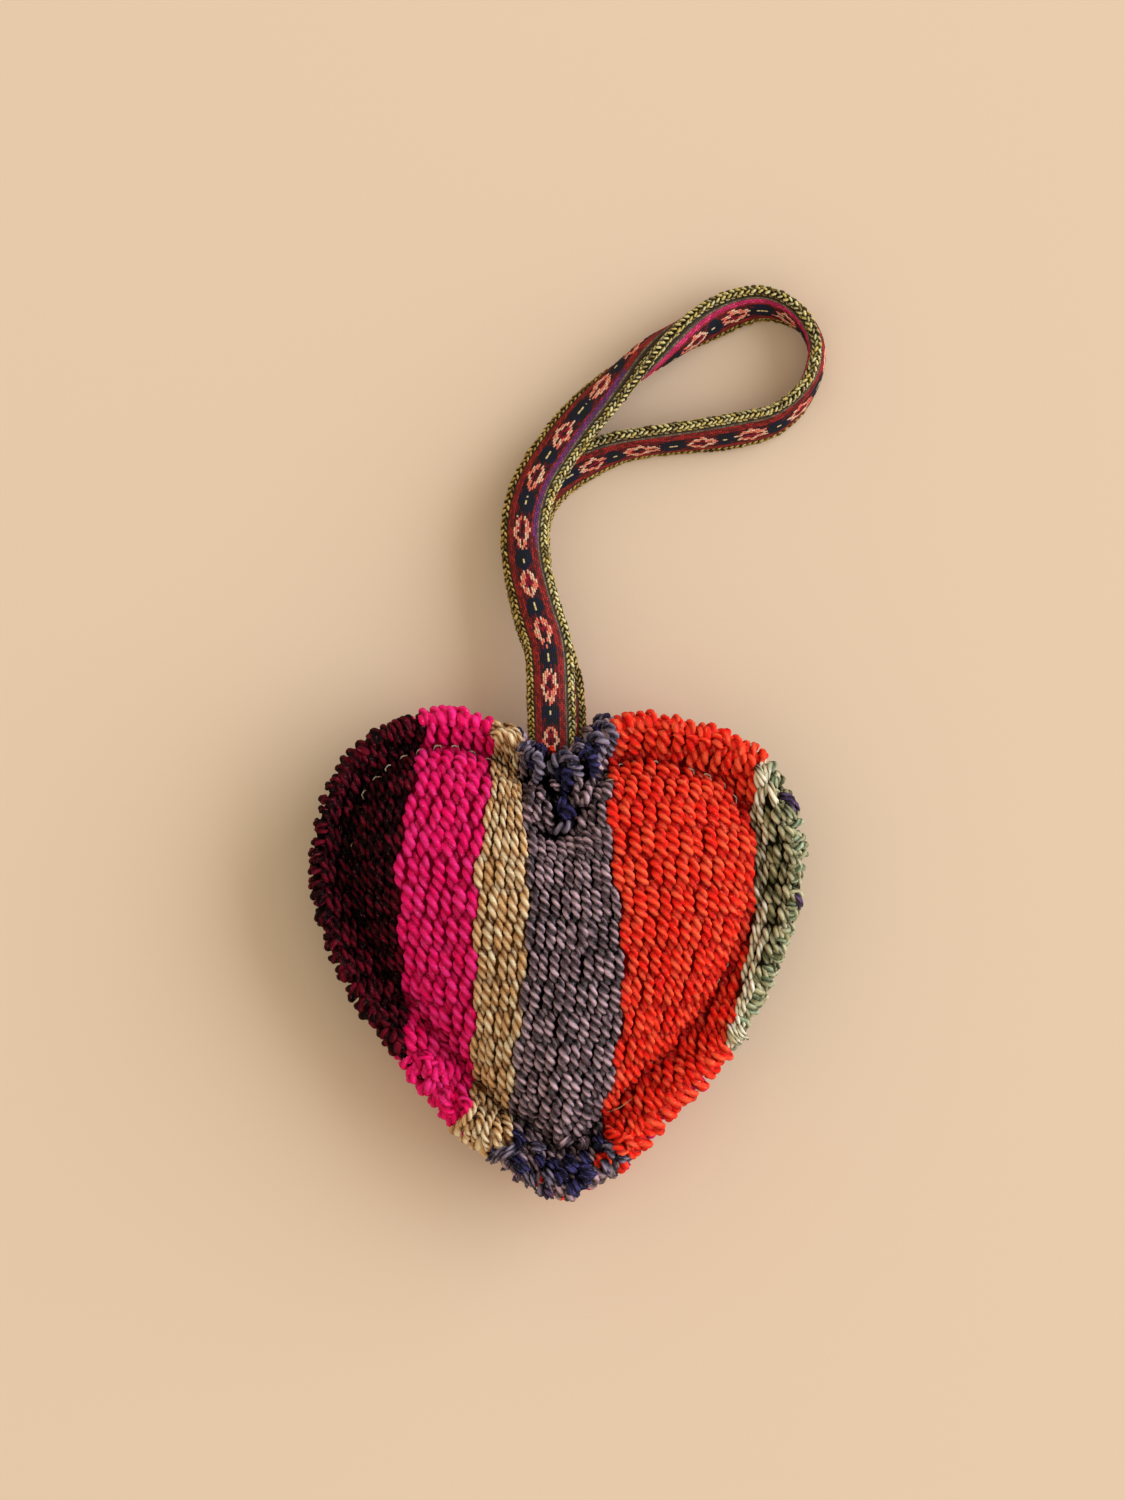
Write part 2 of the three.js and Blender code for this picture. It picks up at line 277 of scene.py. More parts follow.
def dye(red, green, blue):
    """A colour given as the eye sees it, 0 to 255, turned into light values."""
    share = np.array([red, green, blue]) / 255
    light = np.where(share <= 0.04045, share / 12.92, ((share + 0.055) / 1.055) ** 2.4)
    return (*light.tolist(), 1.0)


def operator(operation, turned=False):
    """An operator of Wire: a Math node on its two values, which are turned round for 1 - wire."""
    def work_out(self, other):
        return self.maths(operation, *((other, self) if turned else (self, other)))
    return work_out


class Wire:
    """One socket of a finish. Arithmetic on it adds the nodes that work it out."""

    def __init__(self, finish, socket):
        self.finish, self.socket = finish, socket

    def maths(self, operation, *values, clamp=False):
        return self.finish.node("Math", dict(enumerate(values)), operation=operation, use_clamp=clamp)

    __add__ = __radd__ = operator("ADD")
    __mul__ = __rmul__ = operator("MULTIPLY")
    __sub__, __rsub__ = operator("SUBTRACT"), operator("SUBTRACT", turned=True)
    __truediv__, __pow__, __mod__ = operator("DIVIDE"), operator("POWER"), operator("FLOORED_MODULO")
    __lt__, __gt__ = operator("LESS_THAN"), operator("GREATER_THAN")

    def __abs__(self):
        return self.maths("ABSOLUTE", self)

    def floor(self):
        return self.maths("FLOOR", self)

    def clamped(self):
        return self.maths("ADD", self, 0.0, clamp=True)


class Finish:
    """A material: its shader's constants, and the nodes that vary its colour and relief. Plain
    colours in it are given as the eye sees them."""

    def __init__(self, name, roughness, specular):
        self.material = bpy.data.materials.new(name)
        self.material.use_nodes = True
        self.tree = self.material.node_tree
        self.sockets = self.tree.nodes["Principled BSDF"].inputs
        self.sockets["Roughness"].default_value = roughness
        self.sockets["Specular IOR Level"].default_value = specular

    def feed(self, socket, value):
        if isinstance(value, Wire):
            self.tree.links.new(value.socket, socket)
        else:
            socket.default_value = dye(*value) if isinstance(value, tuple) else value

    def node(self, kind, inputs=None, output=0, **settings):
        made = self.tree.nodes.new("ShaderNode" + kind)
        for key, value in settings.items():
            setattr(made, key, value)
        for key, value in (inputs or {}).items():
            self.feed(made.inputs[key], value)
        return Wire(self, made.outputs[output])

    def layered(self, colour, *layers):
        """A colour with others laid over it in turn, each by its share."""
        for share, over in layers:
            colour = self.node("Mix", {0: share, 6: colour, 7: over}, 2, data_type="RGBA")
        return colour

    def noise(self, vector, detail=0, roughness=0.5, scale=1.0):
        """Fractal noise at a vector, which is a socket or its two or three numbers."""
        if isinstance(vector, tuple):
            vector = self.node("CombineXYZ", dict(enumerate(vector)))
        inputs = {"Vector": vector, "Scale": scale, "Detail": detail, "Roughness": roughness}
        return self.node("TexNoise", inputs)

    def marks(self):
        return self.node("Attribute", output="Color", attribute_name="marks")

    def strand(self):
        """Across and along a strand, and its marks: a tone, painted shade where it dives or lies in a gap
        or valley, and a second tone.
        """
        run = self.node("SeparateXYZ", {0: self.node("UVMap", uv_map="run")})
        marks = self.node("SeparateColor", {0: self.marks()})
        sockets = [*run.socket.node.outputs[:2], *marks.socket.node.outputs]
        return [Wire(self, socket) for socket in sockets]

    def show(self, colour, height, distance, strength=1.0):
        """The material, once it is fed a colour and a relief, whose depth is in millimetres."""
        self.feed(self.sockets["Base Color"], colour)
        inputs = {"Height": height, "Distance": distance * MM, "Strength": strength}
        self.feed(self.sockets["Normal"], self.node("Bump", inputs, "Normal"))
        return self.material


def yarn_finish(name, shade_colour, body, second, light, roughness=0.6, gloss=0.2, marled=False, glint_colour=None):
    """Plied wool: fibres streaked along each ply, with a painted highlight on the crown of each ply,
    painted glints, and painted shade in the creases between plies and where the yarn dives under the
    weft, with a tone of its own for each stretch."""
    finish = Finish(name, roughness, gloss)
    across, along, tone, dive_shade, other = finish.strand()
    crease = abs((across % 1.0) * 2 - 1)
    streak = finish.noise((across * 6.0, along * 0.8, other * 7), 3, 0.6)
    fleck = finish.noise((across * 14.0, along * 1.8, tone * 9), 2, 0.7)
    lobe = finish.noise((across.floor() * 5.3, along * 0.5, tone * 31))
    patch = (streak - 0.5) * 2.8 + other * 0.8 + 0.1
    if marled:
        patch = patch * 0.5 + (across.floor() % 2.0) * 0.7 - 0.1
    # Painted highlight: the crown of each ply, and some lobes at random, made lighter towards the light
    # colour
    crown_highlight = (1 - crease) ** 2.2 * 0.8 + (tone - 0.5) * 0.5 + (fleck - 0.5) * 1.4 + (lobe - 0.5) * 2.4
    # Painted shade: darker in the creases between plies, where the yarn dives or lies in a gap or valley,
    # and in streaks
    shade = (crease**2.3 + dive_shade + (0.42 - streak) * 1.1).clamped()
    # Painted glints: small bright specks mixed towards the glint colour, or towards the light colour where
    # none is given
    glints = ((fleck - 0.63) * 9.0).clamped() * 0.66
    wool = finish.layered(
        body, (patch.clamped(), second), (crown_highlight.clamped() * 0.74, light), (shade, shade_colour),
        (glints, glint_colour or light))
    return finish.show(wool, streak * 0.5 + fleck * 0.45 - crease**2.0 * 0.9, 0.3, 0.95)


# Each wool: the painted shade deep in its creases, its dye on the body and in streaks, the painted
# highlight on its crown, and the rest, where the glint colour is a painted highlight too
WOOLS = {
    "maroon": ((2, 0, 0), (36, 2, 8), (12, 0, 2), (126, 10, 38), dict(gloss=0.06, glint_colour=(186, 110, 120))),
    "pink": (
        (158, 0, 54), (255, 2, 114), (242, 0, 90), (255, 54, 150), dict(gloss=0.12, glint_colour=(255, 150, 200))),
    "gold": ((92, 48, 18), (238, 182, 120), (196, 142, 84), (255, 240, 200), dict(roughness=0.45)),
    "grey": (
        (2, 0, 1), (98, 68, 76), (50, 30, 37), (230, 190, 200),
        dict(roughness=0.4, gloss=0.4, glint_colour=(240, 226, 228))),
    "red": (
        (158, 4, 2), (255, 44, 18), (246, 18, 6), (255, 106, 64), dict(gloss=0.12, glint_colour=(255, 190, 166))),
    "cream": ((80, 60, 28), (240, 228, 190), (206, 188, 138), (255, 252, 236), dict(marled=True)),
    "sage": ((18, 16, 2), (160, 152, 104), (74, 76, 38), (232, 222, 182), dict(marled=True)),
    "green": ((20, 24, 10), (104, 122, 86), (160, 152, 108), (200, 210, 176), dict(marled=True)),
    "navy": ((1, 1, 4), (19, 15, 50), (8, 6, 22), (78, 70, 130), dict(gloss=0.12, glint_colour=(170, 164, 210))),
    "lavender": (
        (4, 2, 8), (64, 52, 74), (20, 17, 46), (170, 152, 172), dict(marled=True, glint_colour=(236, 226, 234))),
    "purple": ((10, 3, 14), (64, 38, 76), (40, 22, 52), (132, 102, 144), {}),
}
FINISHES = {name: yarn_finish(f"{name}_wool", *dyes, **rest) for name, (*dyes, rest) in WOOLS.items()}
SHARED_SLOTS = {"cream": "sage", "green": "sage", "lavender": "navy", "purple": "navy"}

# Strap


def strap_stations():
    """The sewn ends and the free loop between them, as x, y, z, roll in degrees and thickness."""
    x, y, lift, roll, share = np.array(STRAP_ROUTE, float).T
    turn = np.radians(roll)
    thick = STRAP_THICKNESS * share
    z = lift + np.hypot(STRAP_WIDTH / 2 * np.sin(turn), thick / 2 * np.cos(turn))
    free = np.stack([x, NOTCH + y, z, roll, share], 1)

    def sewn(side, y):
        z = MID_HEIGHT + side * (STRAP_THICKNESS + STRAND_GAP) / 2
        return [-side * STRAND_OFFSET, y, z, 0, SEWN_SHARE]

    inside = NOTCH - SEWN_LENGTH
    return np.vstack([[sewn(1, inside), sewn(1, NOTCH)], free, [sewn(-1, NOTCH), sewn(-1, inside)]])


STRAP_LINE = smooth_curve(strap_stations(), 24)
STRAP_LENGTH = lengths_along(even_steps(STRAP_LINE, 900))[-1]
BAND_HALF_WIDTH = 4.3
BAND_EDGE = 0.45  # half the band's thickness beside its braided edges
BAND_STEP = 0.45
WARP_THREADS = 22  # fine threads side by side across the band
THREAD_WIDTH = 2 * BAND_HALF_WIDTH / WARP_THREADS
THREAD_RIDGE = 0.1
PICK = 0.9  # length of one float of the fine threads
CHAIN_PITCH = 1.15
CHAIN_OUT = 3.95  # middle of each braided edge from the middle of the strap
CHAIN_RADIUS = 0.7
CHAIN_HEIGHT = 0.8
CHAIN_ROWS = (114, 57, 0, -57, -114)  # degrees round the edge
LOBE_HALF_LENGTH = 0.74
LOBE_RADIUS = 0.36
MOTIF_REPEAT = 10.8  # one dark diamond and one pale ring
PURPLE_STRETCH = (46.0, 88.0)  # where one line of the outer face is purple, along the strap
PINK_STRETCH = (88.0, 148.0)  # where the same line of the inner face is pink


def strap_frames(count):
    """Evenly spaced middle points, and at each the directions along the strap, out of its
    outer face and towards its pale edge."""
    line = even_steps(STRAP_LINE, count)
    middle = line[:, :3]
    along = unit(np.gradient(middle, axis=0))
    left = unit(np.cross([0, 0, 1], along))
    above = np.cross(along, left)
    roll = np.radians(line[:, 3:4])
    face = above * np.cos(roll) + left * np.sin(roll)
    return middle, along, face, np.cross(along, face), line[:, 4:]


def make_band():
    """Woven band of lens section, fuller where the strap rolls over: across it, ridges of fine
    threads on both faces, closing at the edges; carried along the strap, with the threads'
    floats rising and sinking in turn."""
    count = int(STRAP_LENGTH / BAND_STEP)
    middle, _, face, side, share = strap_frames(count)
    across = np.linspace(-1, 1, 2 * WARP_THREADS + 1)
    closing = np.sqrt(np.clip(1 - np.abs(across) ** 9, 0, 1))
    ridge = THREAD_RIDGE * (np.arange(len(across)) % 2)
    along = np.arange(count)[:, None] * BAND_STEP
    thread = np.arange(len(across)) // 2
    wave = 0.5 + 0.5 * np.cos(2 * np.pi * along / (2 * PICK) + np.pi * thread)
    full = STRAP_THICKNESS / 2 * share - BAND_EDGE - THREAD_RIDGE
    height = (BAND_EDGE + full * (1 - across**2)) * closing + ridge * closing * (0.45 + 0.55 * wave)
    width = across * BAND_HALF_WIDTH + 0 * wave
    w = np.concatenate([width, width[:, -2:0:-1]], 1)
    h = np.concatenate([height, -height[:, -2:0:-1]], 1)
    rings = middle[:, None] + side[:, None] * w[..., None] + face[:, None] * h[..., None]
    outside = np.arange(w.shape[1]) < len(across)
    marks = np.stack([outside + 0 * w, 0 * w, 0 * w], -1)
    uv = np.stack([w, along + 0 * w], -1)
    return closed_rings("strap_band", rings, uv, marks, True, band_finish(), "strap_band"), middle


def make_chain(name, edge, finish, dice):
    """Braided edge of the strap: five rows of short leaning lobes round it, the rows leaning by
    turns one way and the other, so that they meet in arrow heads."""
    count = int(STRAP_LENGTH / CHAIN_PITCH)
    middle, along, face, side, share = strap_frames(count)
    out = side * edge
    high = face * (CHAIN_HEIGHT * np.clip(share, 0.6, 1.1) / CHAIN_RADIUS)
    pressed = np.clip(share * 1.6, 0, 1)
    reach = np.array([-1, -0.4, 0.4, 1])
    bundle = Bundle()
    for row, around in enumerate(np.radians(CHAIN_ROWS)):
        radial = out * math.cos(around) + high * math.sin(around)
        tangent = unit(-out * math.sin(around) + high * math.cos(around))
        heading = unit(along + tangent * (0.6 if row % 2 else -0.6))
        swell = CHAIN_RADIUS * pressed + dice.normal(0, 0.04, (count, 1))
        centre = middle + out * CHAIN_OUT + radial * swell
        centre = centre + along * (0.5 * CHAIN_PITCH * (row % 2)) + dice.normal(0, 0.05, (count, 3))
        line = centre[:, None] + heading[:, None] * (reach * LOBE_HALF_LENGTH)[None, :, None]
        up = np.repeat(unit(radial)[:, None], len(reach), 1)
        line = line - up * (0.34 * reach**2)[None, :, None]
        girth = np.sqrt(np.clip(1.1 - reach**2, 0.09, 1)) * dice.uniform(0.8, 1.15, (count, 1))
        dull = 1.3 * (dice.random((count, 1)) < 0.42)
        # Painted shade towards the ends of each lobe, where it tucks under its neighbours
        bundle.add(line, up, LOBE_RADIUS * girth, LOBE_RADIUS * girth, 0.0, 3, 0.0,
                   (dice.random((count, 1)), reach**2, dull), blunt=0.4)
    return bundle.piece(name, finish, "strap_band")


def band_finish():
    """Warp-patterned band. Across it: dark red, a row of stepped diamonds, dark red, purple or pink,
    and dull olive. Along it, navy diamonds with a pale eye take turns with salmon rings; each float
    of thread is a cell with a tone of its own, and is early or late by part of a pick."""
    finish = Finish("strap_pattern", 0.66, 0.25)
    across, along, outside, _, _ = finish.strand()
    thread = (across / THREAD_WIDTH).floor()
    picks = (along + (thread % 2.0) * PICK / 2) / PICK
    pick = picks.floor() * PICK
    cell = finish.noise((thread * 5.3, pick * 3.7))
    wander = finish.noise((along * 0.07, 0.5))
    grain = finish.noise((across * 8, along * 1.1), 3, 0.6)
    phase = (pick - 2.5 + (cell - 0.5) * 1.8 + (wander - 0.5) * 5.0) % MOTIF_REPEAT
    offset = abs((thread + 0.5) * THREAD_WIDTH + 0.2)
    from_dark, from_pale = abs(phase - MOTIF_REPEAT * 0.25), abs(phase - MOTIF_REPEAT * 0.75)
    dark = (offset / 2.0) ** 1.5 + (from_dark / 2.5) ** 1.5
    pale = offset / 1.8 + from_pale / 4.7
    patch = ((cell - 0.4) * 5.0).clamped()
    late = cell * 9.0

    def stretch(ends):
        return (along > ends[0] + late) * (along < ends[1] + late)

    def dyed(first, second):
        return finish.layered(first, (patch, second))

    line = dyed((172, 36, 32), (108, 22, 14))
    motif = finish.layered(
        dyed((110, 14, 24), (30, 14, 20)),
        (pale < 1.0, dyed((255, 206, 170), (250, 124, 98))),
        (pale < 0.5, dyed((160, 8, 40), (40, 4, 12))),
        (dark < 1.0, dyed((12, 18, 52), (6, 20, 24))),
        ((offset < 0.3) * (from_dark < 0.75), (240, 214, 150)))
    bright_line = finish.layered(
        line,
        (stretch(PURPLE_STRETCH) * outside, dyed((134, 50, 118), (92, 48, 92))),
        (stretch(PINK_STRETCH) * (1 - outside), dyed((232, 60, 116), (196, 30, 86))))
    groove = abs(((across / THREAD_WIDTH) % 1.0) * 2 - 1) ** 3
    pick_groove = abs((picks % 1.0) * 2 - 1) ** 4
    # Painted shade in the grooves between threads and between picks, and darker where the grain noise is
    # low
    shade = (groove * 0.6 + pick_groove * 0.5 + (0.53 - grain) * 1.6).clamped()
    # The near black beyond 3.2 mm from the middle lies under the braided edges: painted shade in the gaps
    # between their lobes
    colour = finish.layered(
        line, (offset < 1.75, motif), (across > 1.9, bright_line),
        (across > 2.8, dyed((128, 108, 84), (92, 78, 66))), (abs(across) > 3.2, (52, 40, 16)),
        (shade, (20, 7, 8)))
    return finish.show(colour, grain * 0.5 - groove * 0.5 - pick_groove * 0.5, 0.14, 0.9)


def make_strap():
    band, middle = make_band()
    dark = yarn_finish("olive_edge", (34, 20, 4), (180, 140, 58), (98, 70, 22), (240, 210, 124))
    pale = yarn_finish("gold_edge", (32, 20, 4), (232, 204, 106), (116, 88, 30), (255, 248, 190))
    olive_edge = make_chain("strap_olive_edge", -1, dark, np.random.default_rng(3))
    gold_edge = make_chain("strap_gold_edge", 1, pale, np.random.default_rng(4))
    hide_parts("strap")


make_strap()

# Form of the heart

GRID = np.arange(-64.0, 65.0)  # in x and in y
GRID_X, GRID_Y = np.meshgrid(GRID, GRID)
EDGE = smooth_curve(np.array(OUTLINE) / 100 * [HEART_WIDTH / 2, HEART_HEIGHT / 2], 12, closed=True)


class Field:
    """A value known on the grid, read between its points by weighing the nearest four."""

    def __init__(self, values):
        self.values = values

    def __call__(self, x, y):
        u, v = (np.clip(place - GRID[0], 0, len(GRID) - 1.001) for place in (x, y))
        i, j = u.astype(int), v.astype(int)
        u, v = u - i, v - j
        low, high = (self.values[row, i] * (1 - u) + self.values[row, i + 1] * u for row in (j, j + 1))
        return low * (1 - v) + high * v


def polar(x, y):
    return np.hypot(x - CENTRE[0], y - CENTRE[1]), np.arctan2(y - CENTRE[1], x - CENTRE[0])


def radius_at(angle, line):
    """Distance from the centre to a closed line round it, in a given direction."""
    radius, around = polar(*line.T)
    return np.interp(angle, around, radius, period=2 * np.pi)


def nearest(here, a, b):
    """Distance from each point to the nearest of the straight sides that run from a to b."""
    share = np.clip(((here - a) * (b - a)).sum(-1) / ((b - a) ** 2).sum(-1), 0, 1)
    return np.linalg.norm(here - a - share[..., None] * (b - a), axis=-1).min(axis=-1)


def inset_field():
    """Distance inwards from the cut edge: to the nearest point of its many short sides."""
    x, y = GRID_X.ravel(), GRID_Y.ravel()
    distance = nearest(np.stack([x, y], 1)[:, None], EDGE, np.roll(EDGE, -1, axis=0))
    radius, angle = polar(x, y)
    return Field(np.where(radius < radius_at(angle, EDGE), distance, -distance).reshape(GRID_X.shape))


inset = inset_field()

# Width of the rim in each direction from the centre, as a share of the usual one
RIM_DIRECTIONS = (-180, -150, 80, 108, 145, 180)
RIM_SHARES = (0.9, 1, 1, 0.8, 0.78, 0.9)


def rim_depth(x, y):
    """Distance inwards from the cut edge, as if the rim were equally wide all round."""
    return inset(x, y) / np.interp(np.degrees(polar(x, y)[1]), RIM_DIRECTIONS, RIM_SHARES)


def seam_line():
    """The line a rim's width inside the edge, found along rays from the centre."""
    angle = np.radians(np.arange(0, 360, 0.5))[:, None]
    ray = np.concatenate([np.cos(angle), np.sin(angle)], 1)
    step = 0.2
    radius = np.arange(2, 62, step)
    depth = rim_depth(CENTRE[0] + radius * ray[:, :1], CENTRE[1] + radius * ray[:, 1:])
    last = (depth > RIM_WIDTH).cumsum(axis=1).argmax(axis=1)
    row = np.arange(len(angle))
    over, under = depth[row, last], depth[row, last + 1]
    reach = radius[last] + step * (over - RIM_WIDTH) / (over - under)
    return CENTRE + reach[:, None] * ray


SEAM = seam_line()

# Skin over the mid plane against the distance from the cut edge
RIM_PROFILE = [
    (-3.0, -3.2), (-1.6, -1.2), (-0.6, 1.0), (0.0, 2.4), (1.3, 4.5), (3.2, 5.4), (5.6, 4.5),
    (RIM_WIDTH - SEAM_GROOVE / 2, SEAM_RISE - 0.2), (RIM_WIDTH, SEAM_RISE - 0.6),
]
BODY_FULLNESS = 0.62


def over_strap(x, y):
    """1 over the sewn ends of the strap, falling to 0 over a short distance beyond them."""
    beside = np.maximum(np.abs(x) - POCKET_HALF_WIDTH, 0)
    below = np.maximum(NOTCH - SEWN_LENGTH - y, 0)
    share = np.clip(1 - np.hypot(beside, below) / POCKET_EASE, 0, 1)
    return share * share * (3 - 2 * share)


def cleft(x, y):
    """Fold that runs from the notch into the body: half a sine along it, a bell curve across."""
    along = np.clip((NOTCH - RIM_WIDTH * 0.3 - y) / CLEFT_LENGTH, 0, 1)
    return CLEFT_DEPTH * np.sin(np.pi * along) * np.exp(-((x / (CLEFT_WIDTH / 2)) ** 2))


# Open gaps in the front cloth, where it is drawn in round the notch
GAP_LINES = [
    (0.8, [(-3.9, 26.0), (-3.0, 24.0), (-1.3, 23.2), (0.6, 23.9), (3.8, 26.7), (4.9, 29.4)]),
    (3.4, [(-2.2, 38.0), (-1.2, 31.0), (0.2, 28.0)]),
    (1.6, [(6.0, 40.0), (5.4, 34.0)]),
]


def gap_at(x, y):
    """1 in the middle of the open gaps, falling beside them as exp(-(distance / half width) ^ 4)."""
    here = np.stack([x, y], -1)[..., None, :]
    bells = [np.exp(-((nearest(here, np.array(line[:-1]), np.array(line[1:])) / half) ** 4))
             for half, line in GAP_LINES]
    return np.max(bells, axis=0)


class Side:
    """One face of the stuffed heart, front (sign 1) or back (-1), and the cloth laid over it:
    how high its skin stands, how much cloth lies between two points of a row or a yarn, the
    stripes from left to right and the lines between them."""

    def __init__(self, name, sign, puff, borders, stripes):
        self.name, self.sign, self.puff = name, sign, puff
        self.borders, self.stripes = borders, stripes
        up_slope, right_slope = np.gradient(self.skin(GRID_X, GRID_Y))
        rows = np.cumsum(np.hypot(1, up_slope), axis=0)
        columns = np.cumsum(np.hypot(1, right_slope), axis=1)
        self.up_run = Field(rows - rows[int(round(CENTRE[1] - GRID[0]))])
        self.across_run = Field(columns - columns[:, int(-GRID[0])][:, None])

    def rise(self, x, y):
        """Rim profile out to the edge; inside the seam a dome, puff x (1 - t^2) ^ fullness, with t
        the share of the way from the centre to the seam."""
        depth = rim_depth(x, y)
        radius, angle = polar(x, y)
        share = radius / radius_at(angle, SEAM)
        dome = self.puff * np.clip(1 - share**2, 0, 1) ** BODY_FULLNESS
        rise = profile(np.minimum(depth, RIM_WIDTH), RIM_PROFILE) + dome
        covered = over_strap(x, y)
        held = profile(np.clip(depth, 0, 3), [(0, 0), (1, 0.5), (3, 1)])
        if self.sign > 0:
            rise = rise - cleft(x, y) * np.clip(share * 3 - 1, 0, 1) * (1 - covered)
        return rise + POCKET_LIFT * 0.75 * covered * held

    def skin(self, x, y):
        """Height of the outer skin over the floor; the back sinks flat where it would go below it."""
        height = MID_HEIGHT + self.sign * self.rise(x, y)
        return height if self.sign > 0 else (height + np.sqrt(height**2 + 0.6)) / 2

    def over(self, x, y, lift=0):
        """Points of the skin, lifted off the floor by a further height."""
        return np.stack([x, y, self.skin(x, y) + lift], -1)

    def normal(self, x, y, step=0.4):
        slope_x = (self.skin(x + step, y) - self.skin(x - step, y)) / (2 * step)
        slope_y = (self.skin(x, y + step) - self.skin(x, y - step)) / (2 * step)
        return unit(np.stack([-slope_x, -slope_y, np.ones_like(slope_x)], -1)) * self.sign

    def border(self, index, y):
        return np.interp(y, BORDER_HEIGHTS, self.borders[index])


# Colour changes across the cloth: x at each of these heights, from below the tip to the lobes
BORDER_HEIGHTS = (-50, -36, -30, -20, -8, 5, 18, 30, 44, 52)
FRONT_BORDERS = [
    (-30, -30, -30, -29.6, -30.7, -31.5, -32, -29.8, -26.6, -25.4),
    (-24, -20.2, -17.2, -17, -16.4, -16.4, -15.9, -13.6, -12.8, -12.6),
    (-9.6, -9.4, -9.2, -8.4, -6.8, -6, -5.7, -6.8, -8, -8.6),
    (7, 8.6, 9.8, 12, 13.3, 13, 11, 10.2, 11.2, 11.6),
    (31, 32, 32.7, 33.9, 36.4, 39.2, 39.8, 39, 41.6, 44),
]
BACK_BORDERS = [
    (-30, -30, -30, -31, -31, -32, -31, -31, -30, -30),
    (-16, -16, -16, -15, -15, -14, -14, -15, -15, -15),
    (-8, -7, -6, -5, -4, -3, -3, -4, -5, -6),
    (14, 15, 15, 14, 14, 13, 13, 12, 12, 12),
    (28, 28, 28, 27, 26, 25, 25, 26, 27, 28),
]

# Each stripe: its colour, and the yarns seen side by side in one row
FRONT_STRIPES = [
    ("maroon", 9), ("pink", 6), ("gold", 5), ("grey", 9), ("red", 12), ("cream", 2), ("sage", 7),
]
BACK_STRIPES = [("maroon", 9), ("pink", 7), ("grey", 5), ("red", 8), ("pink", 5), ("sage", 14)]
FRONT = Side("front", 1, FRONT_PUFF, FRONT_BORDERS, FRONT_STRIPES)
BACK = Side("back", -1, BACK_PUFF, BACK_BORDERS, BACK_STRIPES)

ROW = 6.1  # length of cloth from one row of floats to the next
SHORT_ROW = 4.0  # the same in the sage stripe and the cream beside it

# Each warp yarn: length of one turn of its twist, half the seen part of a float as a share of a
# row, the row, and the colour of the felted cloth below it, dark as painted shade in the gaps
WARP = {
    "maroon": (4.4, 0.52, ROW, (8, 0, 2)), "pink": (4.6, 0.6, ROW, (132, 0, 44)),
    "gold": (4.2, 0.62, ROW, (104, 66, 30)), "grey": (3.6, 0.6, ROW, (10, 5, 7)),
    "red": (4.2, 0.62, ROW, (118, 3, 3)), "cream": (4.0, 0.64, SHORT_ROW, (80, 66, 36)),
    "sage": (4.0, 0.5, SHORT_ROW, (34, 32, 12)),
}
OUTER_PITCH = {"maroon": 2.05, "sage": 1.95}
CREAM_WIDTH = 2.7
CREAM_TUCK = 0.2  # how far the cream yarns crowd under the red ones in the seam
DIVE = 1.45
FLOAT_STEPS = np.concatenate([np.linspace(-0.64, 0.64, 15), [1.0]])


def stripe_span(side, index, y):
    """Where a stripe lies in a row, as lengths of cloth from the middle: its left edge and width."""
    colour, count = side.stripes[index]
    place = sum(name != "cream" for name, _ in side.stripes[:index])
    outer = count * OUTER_PITCH.get(colour, 0) + 0 * y
    if index == 0:
        return side.across_run(side.border(0, y), y) - outer, outer
    left = side.across_run(side.border(place - 1, y), y)
    if colour == "cream":
        return left - CREAM_TUCK, CREAM_WIDTH + CREAM_TUCK + 0 * y
    if colour == "sage":
        return left + (CREAM_WIDTH if side.sign > 0 else 0), outer
    return left, side.across_run(side.border(place, y), y) - left


def on_cloth(side, index, share, run):
    """Points of a yarn: x and y move until the cloth below each and the cloth to its left are as
    long as the yarn's place asks."""
    x, y = np.zeros_like(run), CENTRE[1] + run * 0.8
    for _ in range(50):
        left, width = stripe_span(side, index, y)
        x = x + 0.4 * (left + share * width - side.across_run(x, y))
        y = y + 0.4 * (run - side.up_run(x, y))
        x, y = np.clip(x, -62, 62), np.clip(y, -62, 62)
    return x, y, stripe_span(side, index, y)[1] / side.stripes[index][1]


BUNDLES = {}


def bundle_for(colour, side):
    return BUNDLES.setdefault((colour, side.name), Bundle())


